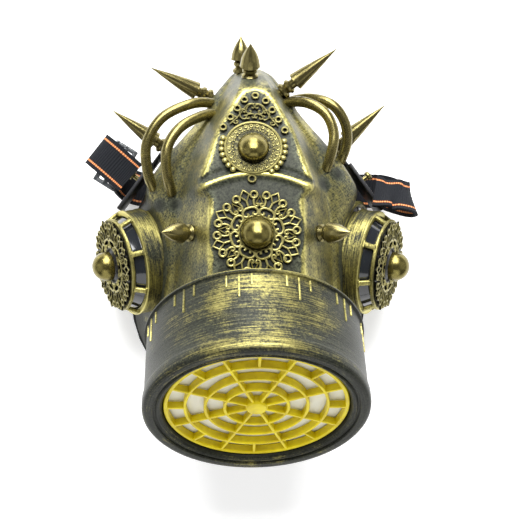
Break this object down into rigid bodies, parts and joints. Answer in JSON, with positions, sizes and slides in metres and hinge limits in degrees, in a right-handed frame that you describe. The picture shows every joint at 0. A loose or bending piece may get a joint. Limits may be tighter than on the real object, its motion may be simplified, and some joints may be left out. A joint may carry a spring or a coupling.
{
  "type": "gas mask style costume mask",
  "caption": "Antique brass half mask with a round filter canister, cheek drums, hose tubes, spikes, cast ornaments and an elastic head strap.",
  "frame": {"origin": "middle of the footprint of the whole mask, on the surface that it lies on", "axes": "+Y towards the nose bridge, +Z out of the face, +X towards the wearer's left cheek"},
  "size_m": [0.1514, 0.1886, 0.1207],
  "materials": {
    "antique_paint": "antique brass paint over dark grey-green plastic",
    "black_rubber": "matt black",
    "black_plate": "black with a worn brass edge",
    "elastic_web": "ribbed black elastic with two orange stripes",
    "smoke_plastic": "smoky grey",
    "filter_felt": "white filter felt",
    "yellow_plastic": "bright yellow moulding",
    "cast_brass": "pale aged brass",
    "brass": "polished antique brass",
    "brass_tube": "polished antique brass",
    "black_core": "glossy black"
  },
  "bodies": {
    "root": {"mask_body": "antique_paint", "face_seal_left": "black_rubber", "face_seal_right": "black_rubber", "side_plate_left": "black_plate", "side_plate_right": "black_plate", "stud_left": "brass", "stud_right": "brass", "head_strap": "elastic_web", "strap_slide": "smoke_plastic", "filter_canister": "antique_paint", "filter_pad": "filter_felt", "filter_grille": "yellow_plastic", "front_ornament": "cast_brass", "front_dome": "brass", "nose_ornament": "cast_brass", "nose_dome": "brass", "drum_housing_left": "antique_paint", "drum_core_left": "black_core", "drum_ornament_left": "cast_brass", "drum_dome_left": "brass", "drum_housing_right": "antique_paint", "drum_core_right": "black_core", "drum_ornament_right": "cast_brass", "drum_dome_right": "brass", "tube_outer_left": "brass_tube", "tube_inner_left": "brass_tube", "tube_inner_right": "brass_tube", "tube_outer_right": "brass_tube", "spike_upper_left": "brass", "spike_upper_right": "brass", "spike_side_left": "brass", "spike_side_right": "brass", "spike_front_left": "brass", "spike_front_right": "brass", "spike_top_front": "brass", "spike_top_rear": "brass"}
  },
  "joints": []
}
